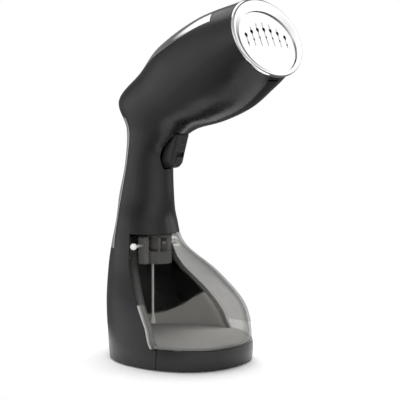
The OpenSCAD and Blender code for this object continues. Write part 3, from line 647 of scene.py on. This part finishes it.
def key_row(z):
    """One level line round the key: its sides, rounded corners and front."""
    x = float(np.interp(z, FRONT[:, 0], FRONT[:, 1]))
    shrink = 3.7 * max(0, (160 - z) / 6.6) ** 2          # the rounded foot
    half = TRIG_HALF - shrink
    r = TRIG_R - 0.5 * shrink
    corner = [math.pi / 2 * k / 12 for k in range(13)]
    right = [[x - r + r * math.sin(a), -(half - r + r * math.cos(a))] for a in corner]
    right += [[x, -(half - r) * k] for k in (0.98, 0.8, 0.4, 0)]
    for q in right:
        if 166 < z < RIB_TO and abs(q[1]) < RIB_HALF:
            wave = math.cos(2 * math.pi * (z - RIB_FROM) / RIB_PITCH) - 1
            q[0] += RIB_DEEP * wave * min(1, (RIB_HALF - abs(q[1])) / 1.2)
    rear = TRIG_REAR + max(0, z - 162) * 0.45
    side_x, side_y = right[0]
    flank = [[rear + (side_x - rear) * k / 4, side_y * (1 - FLANK_IN + FLANK_IN * k / 4)] for k in range(4)]
    right = flank + right
    left = [[q[0], -q[1]] for q in reversed(right[:-1])]
    return [np.array([q[0], q[1], z]) for q in right + left]


def trigger_key():
    """The key without its pocket, as a stack of level lines, ribbed across the upper face."""
    zs = [TRIG_LOW, 153.55, 153.9, 154.4, 155, 156, 157.05, 157.1, 157.7, 159, 161, 163, 165, 165.6, 165.65]
    zs += [RIB_FROM + 0.25 * k for k in range(57)] + [TRIG_TOP]
    rows = [key_row(z) for z in zs]
    n = len(rows[0])
    verts = [q for row in rows for q in row]
    faces = grid_faces(len(rows), n, wrap=True)
    faces += [tuple(range(n)), tuple(range(len(verts) - 1, len(verts) - n - 1, -1))]
    return new_object("trigger_key", verts, faces, sharp=38)


face = Vector((FACE_TOP[0] - FACE_LOW[0], 0, FACE_TOP[1] - FACE_LOW[1])).normalized()
proud = Vector((face.z, 0, -face.x))


def at_face(x, y, z):
    """A point x out of the key's face, y to the side and z up the face."""
    return Vector((FACE_LOW[0], 0, FACE_LOW[1])) + proud * x + Vector((0, 1, 0)) * y + face * z


def box_cutter(name, x, y, z, place):
    """A box between two values of each of x, y and z, put in place by place(x, y, z)."""
    corners = [place(a, b, c) for a in x for b in y for c in z]
    sides = [(0, 1, 3, 2), (4, 6, 7, 5), (0, 4, 5, 1), (2, 3, 7, 6), (0, 2, 6, 4), (1, 5, 7, 3)]
    return new_object(name, corners, sides, smooth=False)


def carve(obj, cutter):
    """Cuts one solid out of another, then removes the cutter."""
    m = obj.modifiers.new("cut", "BOOLEAN")
    m.operation, m.solver, m.object = "DIFFERENCE", "EXACT", cutter
    dg = bpy.context.evaluated_depsgraph_get()
    cut = bpy.data.meshes.new_from_object(obj.evaluated_get(dg))
    obj.modifiers.remove(m)
    cut.set_sharp_from_angle(angle=math.radians(38))
    obj.data = cut
    bpy.data.objects.remove(cutter)
    return obj


key = carve(trigger_key(), box_cutter("pocket", (-POCKET_DEEP, 6), (-POCKET_HALF, POCKET_HALF),
                                      (POCKET_LOW, POCKET_TOP), at_face))
key.modifiers.new("normals", "WEIGHTED_NORMAL").keep_sharp = True
piece(key, TRIGGER, "trigger", "trigger_plastic", "trigger")


def slider():
    """The steam lock's slider, ribbed across so that a thumb can push it."""
    z0, z1, top, back, shoulder = POCKET_LOW + 0.1, 4.9, 0.75, 0.1 - POCKET_DEEP, 0.2
    rib, steps = 0.28, 28
    outline = [(back, z0), (shoulder, z0)]
    for k in range(steps + 1):
        x = top - rib + rib * math.cos(2 * math.pi * k / 7)
        outline.append((x, z0 + 0.1 + (z1 - z0 - 0.2) * k / steps))
    outline += [(shoulder, z1), (back, z1)]
    half = POCKET_HALF - 0.1
    return prism("lock_key", outline, 2 * half, lambda a, b, w: at_face(a, w - half, b), sharp=50)


piece(slider(), TRIGGER, "trigger_lock", "trigger_plastic", "lock_slider")

# ------------------------------------------ tank
# Points of a ring: over the front arc, over the step beside the skirt, and round the rear.
ARC, STEP_N, REAR = 64, 4, 64
TANK_T = refine([1.02, 2.1], 0.045) + refine([2.1, 4.3], 0.1)[1:] + [4.36, 4.41]
TOP_ROWS = [(4.44, 0.12), (4.455, 0.42), (4.46, 0.9)]      # the rounded top edge: station, inset
REAR_ROUND = 0.9                # roundness of the rear of a ring
TOP_Z = 99                      # just under the tank's roof


def tank_ring(t, inset, round_in=0.0):
    """One level ring of the tank: the front arc, the step inwards beside the skirt, and the part
    in the skirt."""
    x0 = edge_x(t) + GAP
    z = section(t)[1]
    a = angle_at_x(t, x0)
    inn = inset + round_in
    a_in = angle_at_x(t, x0 + inn)
    y0 = skin(t, a, 0)[1] - SIDE_STEP - inn
    back = float(np.interp(z, BACK[:, 0], BACK[:, 1])) + inn
    pts = []
    for k in range(ARC + 1):
        pts.append(skin(t, -a_in + 2 * a_in * k / ARC, inn))
    end_y = pts[-1][1]
    for k in range(1, STEP_N):
        pts.append(np.array([x0 + inn, end_y + (y0 - end_y) * k / STEP_N, z]))
    for k in range(REAR + 1):
        b = math.pi * k / REAR
        x = x0 + inn - (x0 + inn - back) * math.sin(b) ** REAR_ROUND
        pts.append(np.array([x, y0 * spow(math.cos(b), REAR_ROUND), z]))
    for k in range(1, STEP_N):
        pts.append(np.array([x0 + inn, -y0 - (end_y - y0) * k / STEP_N, z]))
    for q in pts:
        q[2] = z
    return pts


# Painted reflection: height up to which the tank's back is painted pale and misted, standing in for the
# pale floor's reflection, as x and height.
REFLECTION_LINE = np.array([[-56, 25], [-41, 28], [-31, 33], [-19, 41], [-10, 46], [5, 50]])
FLOOR_REFLECTION, FLOOR_REFLECTION_BLEND = 0.95, 1.6    # share of the painted reflection's pale mist, and the height over which it fades
STEP_HIGHLIGHT = 0.23               # painted highlight: pale frosted share of the step wall, fading out towards the top
HOLE_ROOM = 1.2                 # room round a latch button, in the wall
SPIGOT_HOLE = 3.4               # half width of the spigot's opening in the rear wall


def smooth_step(u):
    u = min(max(u, 0), 1)
    return u * u * (3 - 2 * u)


def painted_reflection_at(p):
    """Share of painted light on the tank's wall at a point: a pale frosted band for a highlight on the step
    wall, and a pale mist for the floor's reflection low on the back.
    """
    t = t_at_z(p.z) if p.z < TOP_Z else 4.45
    x0 = edge_x(t) + GAP
    y_edge = skin(t, angle_at_x(t, x0))[1]
    # painted highlight: a pale band on the step wall beside the skirt's edge, stronger low down
    by_edge = x0 - 0.3 < p.x < x0 + TANK_WALL + 0.3 and p.z < 98
    if by_edge and y_edge - 8 < abs(p.y) < y_edge - 0.4:
        return STEP_HIGHLIGHT * min(1, max(0, (98 - p.z) / 60))
    # painted reflection: the back of the tank is pale below the line and stands in for the pale floor's
    # reflection
    if p.x < x0 + 0.2:
        line = float(np.interp(p.x, REFLECTION_LINE[:, 0], REFLECTION_LINE[:, 1]))
        return FLOOR_REFLECTION * smooth_step((line - p.z) / FLOOR_REFLECTION_BLEND + 0.5)
    return 0.0


def tank_shell():
    """The clear wall with its roof, the cap's opening, and openings for the buttons and spigot."""
    cap_low, cap_high = (Vector(v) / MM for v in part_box("tank_cap"))
    cap_x = (cap_low.x + cap_high.x) / 2
    cap_r = (cap_high.x - cap_low.x) / 2 + 0.05
    outer = [tank_ring(t, 0) for t in TANK_T] + [tank_ring(t, 0, e) for t, e in TOP_ROWS]
    inner = [tank_ring(t, TANK_WALL) for t in TANK_T[:-1]]
    roof = section(TOP_ROWS[-1][0])[1]
    inner.append([np.array([q[0], q[1], roof - TANK_WALL]) for q in tank_ring(TOP_ROWS[-1][0], TANK_WALL)])

    def to_cap(p, z):
        d = np.array([p[0] - cap_x, p[1]])
        d = d / np.linalg.norm(d) * cap_r
        return np.array([cap_x + d[0], d[1], z])

    collar = [[to_cap(p, z) for p in outer[-1]] for z in (roof, roof - TANK_WALL)]
    rows = outer + collar + inner[::-1] + [outer[0]]
    nc = len(rows[0])
    button_low, button_high = (Vector(v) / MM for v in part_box("right_latch_pin"))
    seal_low, seal_high = (Vector(v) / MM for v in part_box("dock_seal"))
    seal_z = (seal_low.z + seal_high.z) / 2

    def open_cell(i, j):
        k = (j + 1) % nc
        m = (rows[i][j] + rows[i][k] + rows[i + 1][j] + rows[i + 1][k]) / 4
        if (abs(m[1]) > 14 and button_low.z - HOLE_ROOM < m[2] < button_high.z + HOLE_ROOM
                and button_low.x - HOLE_ROOM < m[0] < button_high.x + HOLE_ROOM
                and (j < ARC or m[0] > -30.4)):
            return True
        return m[0] < -38 and abs(m[1]) < SPIGOT_HOLE and abs(m[2] - seal_z) < SPIGOT_HOLE

    faces = grid_faces(len(rows), nc, lambda i, j: not open_cell(i, j), wrap=True)
    o = new_object("tank_wall", [q for row in rows for q in row], faces, sharp=42)
    # painted reflection and highlight, per point of the wall
    painted_reflection = o.data.attributes.new("painted_reflection", "FLOAT", "POINT")
    painted_reflection.data.foreach_set("value", [painted_reflection_at(v.co / MM) for v in o.data.vertices])
    return o


piece(tank_shell(), TANK, "tank", "clear_plastic", "tank_shell")

# ------------------------------------------ valve, suction tube and latch buttons
VALVE_X, SPIGOT_X, SPIGOT_Z = -27, -52.4, 90
TUBE_X, TUBE_LOW, TUBE_TOP = -30.5, 27, 85.8
BUTTON = (-27.9, 25.6, 90)      # centre of the left latch button's ball
BALL_R, STEM_R, STEM_END = 2.8, 1.2, -15.4


def merged(name, objs):
    """One object out of several, which it replaces."""
    bm = bmesh.new()
    for o in objs:
        bm.from_mesh(o.data)
        bpy.data.objects.remove(o)
    mesh = bpy.data.meshes.new(name)
    bm.to_mesh(mesh)
    bm.free()
    mesh.polygons.foreach_set("use_smooth", [True] * len(mesh.polygons))
    mesh.set_sharp_from_angle(angle=math.radians(45))
    o = bpy.data.objects.new(name, mesh)
    bpy.context.scene.collection.objects.link(o)
    return o


def valve_core():
    """The valve's cup with a flange low on it, and the spigot that plugs into the handle."""
    line = [(0, 85.8), (4.5, 85.8), (4.9, 87.0), (4.9, 88.0), (4.5, 88.3), (4.5, 95.4), (0, 95.4)]
    line = [(max(r, 0.01), z) for r, z in rounded(line, 0.4)]
    cup = lathe("valve_cup", line, 48, (VALVE_X, 0, 0))
    line = [(1.4, 0), (2.8, 0), (3.0, 0.3), (3.0, 22), (1.4, 22)]
    spigot = lathe("spigot", line, 40, (SPIGOT_X, 0, SPIGOT_Z), "X")
    return merged("valve_core", [cup, spigot])


def pick_up():
    line = [(0.55, TUBE_LOW), (1.0, TUBE_LOW), (1.0, TUBE_TOP), (0.55, TUBE_TOP)]
    return lathe("pick_up", rounded(line, 0.1, 2), 24, (TUBE_X, 0, 0))


def strainer():
    line = [(0.4, 30.6), (1.2, 30.6), (1.4, 29.8), (2.4, 24.8), (2.4, 23.6), (0.4, 23.6)]
    return lathe("strainer", rounded(line, 0.2, 2), 32, (TUBE_X, 0, 0))


def latch_button(side, sign):
    """A ball on a stem; sign is 1 on the left and -1 on the right."""
    turns = [math.radians(a) for a in range(12, 148, 9)]
    line = [(0.01, BALL_R)] + [(BALL_R * math.sin(a), BALL_R * math.cos(a)) for a in turns]
    line += [(1.25, -2.7), (STEM_R, -2.9), (STEM_R, STEM_END), (0.01, STEM_END)]
    button = lathe(side + "_latch_button", line, 40)
    for v in button.data.vertices:
        x, y, z = v.co / MM
        v.co = Vector((BUTTON[0] + x, sign * (BUTTON[1] + z), BUTTON[2] + y)) * MM
    bm = bmesh.new()
    bm.from_mesh(button.data)
    bmesh.ops.recalc_face_normals(bm, faces=bm.faces)
    bm.to_mesh(button.data)
    bm.free()
    return button


piece(valve_core(), GREY, "tank", "valve_plastic", "valve_body")
piece(pick_up(), WHITE, "tank", "tube_plastic", "suction_tube")
piece(strainer(), WHITE, "tank", "white_plastic", "suction_filter")
for side, sign in (("right", -1), ("left", 1)):
    piece(latch_button(side, sign), WHITE, side + "_latch", "white_plastic", side + "_latch_pin")


# ------------------------------------------ foot band
BAND_WALL = 2.4


def foot_band():
    """The black band under the tank, from seam to seam round the front."""
    ts = [0, 0.02, 0.05, 0.1, 0.2, 0.35, 0.5, 0.65, 0.8, 0.92, 1.0, 1.02]
    n = 72
    pts = []
    for t in ts:
        a = angle_at_x(t, SEAM_X + GAP)
        pts += [skin(t, -a + 2 * a * k / n) for k in range(n + 1)]
    o = new_object("foot_ring", pts, grid_faces(len(ts), n + 1), sharp=60)
    outward(o, body_centre)
    thicken(o, BAND_WALL)
    bevel(o, 0.25)
    return o


piece(foot_band(), BLACK, "tank", "base_plastic", "foot_band")

# ------------------------------------------ studio
TABLE = (-0.14, 0.22, -0.15, 0.15)      # metres: x from and to, y from and to
TABLE_R = 0.06                          # radius by which its corners are rounded


def pale_table():
    """A small pale table under the object, with nothing but the soft studio round it."""
    x0, x1, y0, y1 = TABLE
    points = []
    for cx, cy, start in ((x1, y1, 0), (x0, y1, 90), (x0, y0, 180), (x1, y0, 270)):
        mx, my = cx - math.copysign(TABLE_R, cx), cy - math.copysign(TABLE_R, cy)
        for k in range(13):
            a = math.radians(start + 90 * k / 12)
            points.append(((mx + TABLE_R * math.cos(a)) / MM, (my + TABLE_R * math.sin(a)) / MM, 0))
    mat, _, b = principled("pale_floor")
    b.inputs["Base Color"].default_value = (0.84, 0.84, 0.84, 1)
    b.inputs["Roughness"].default_value = 0.8
    b.inputs["Specular IOR Level"].default_value = 0.1
    return put(new_object("floor", points, [tuple(range(len(points)))], smooth=False), mat)


pale_table()

world = bpy.data.worlds.new("studio")
bpy.context.scene.world = world
world.use_nodes = True
wn = world.node_tree
wn.nodes.clear()
wout = node(wn, "ShaderNodeOutputWorld")
wtc = node(wn, "ShaderNodeTexCoord")
wxyz = node(wn, "ShaderNodeSeparateXYZ")
wn.links.new(wtc.outputs["Generated"], wxyz.inputs[0])


def wmath(op, a, b):
    n = node(wn, "ShaderNodeMath", operation=op)
    for k, v in ((0, a), (1, b)):
        if isinstance(v, (int, float)):
            n.inputs[k].default_value = v
        else:
            wn.links.new(v, n.inputs[k])
    return n.outputs[0]


def around(deg):
    """Place on the turn ramp of a direction round the object."""
    return (deg + 180) / 360


def height(deg):
    """Place on the rise ramp of an elevation."""
    return (math.sin(math.radians(deg)) + 1) / 2


# two wide soft lights at the camera's side with a dimmer gap between, and a dim room low down and behind
turn = wmath("ARCTAN2", wxyz.outputs["Y"], wxyz.outputs["X"])
turn = wmath("ADD", wmath("DIVIDE", turn, 2 * math.pi), 0.5)
by_turn = ramp(wn, turn, [(around(a), v) for a, v in (
    (-180, .4), (-160, 1.0), (-140, 1.1), (-118, 1.0), (-98, .55), (-80, .5), (-62, .8),
    (-45, 1.1), (-22, 1.12), (-5, .95), (12, .6), (40, .35), (90, .25), (160, .25))])
rise = wmath("MULTIPLY_ADD", wxyz.outputs["Z"], 0.5)
rise.node.inputs[2].default_value = 0.5
by_rise = ramp(wn, rise, [(height(e), v) for e, v in (
    (-90, .35), (-60, .32), (-40, .42), (-28, .55), (-15, .78), (0, 1.0), (8, .92), (16, .74),
    (26, .56), (60, .5))])
room = wmath("MULTIPLY", by_turn, by_rise)


def softbox(towards, stops):
    """A round glow in the sky; the stops are cosines of the angle from its middle."""
    near = node(wn, "ShaderNodeVectorMath", operation="DOT_PRODUCT")
    wn.links.new(wtc.outputs["Generated"], near.inputs[0])
    near.inputs[1].default_value = towards
    return ramp(wn, near.outputs["Value"], stops)


# one softbox that the steam plate and rim mirror, and one high behind that the cover mirrors
plate_glow = softbox((0.5, 0.76, 0.43), [(0.82, 0.0), (0.93, 1.15)])
cover_glow = softbox((-0.58, 0.27, 0.766), [(0.885, 0.0), (0.915, 1.15)])
glow = wmath("MAXIMUM", plate_glow, cover_glow)
bg_light = node(wn, "ShaderNodeBackground", i_Strength=1.0)
wn.links.new(wmath("MAXIMUM", room, glow), bg_light.inputs["Color"])
# the camera itself sees plain white
bg_seen = node(wn, "ShaderNodeBackground", i_Color=(1, 1, 1, 1), i_Strength=1.0)
path = node(wn, "ShaderNodeLightPath")
wmix = node(wn, "ShaderNodeMixShader")
wn.links.new(path.outputs["Is Camera Ray"], wmix.inputs["Fac"])
wn.links.new(bg_light.outputs[0], wmix.inputs[1])
wn.links.new(bg_seen.outputs[0], wmix.inputs[2])
wn.links.new(wmix.outputs[0], wout.inputs["Surface"])


def aim(light, loc, target):
    """Puts a light at loc, turned to the target, where mirrors and gloss don't show it."""
    o = bpy.data.objects.new(light.name, light)
    bpy.context.scene.collection.objects.link(o)
    o.location = loc
    o.rotation_mode = "QUATERNION"
    o.rotation_quaternion = (Vector(target) - Vector(loc)).to_track_quat("-Z", "Y")
    o.visible_glossy = False


overhead = bpy.data.lights.new("overhead", "AREA")
overhead.shape = "RECTANGLE"
overhead.size, overhead.size_y, overhead.energy = 1.5, 1.5, 36
aim(overhead, (-0.3, 0.4, 1.5), (0, 0, 0.1))

# a narrow soft light from the front that reaches into the tank
spot = bpy.data.lights.new("tank_light", "SPOT")
spot.energy = 10
spot.spot_size, spot.spot_blend, spot.shadow_soft_size = math.radians(15), 0.7, 0.06
aim(spot, (0.48, -0.5, 0.26), (-0.01, 0, 0.055))
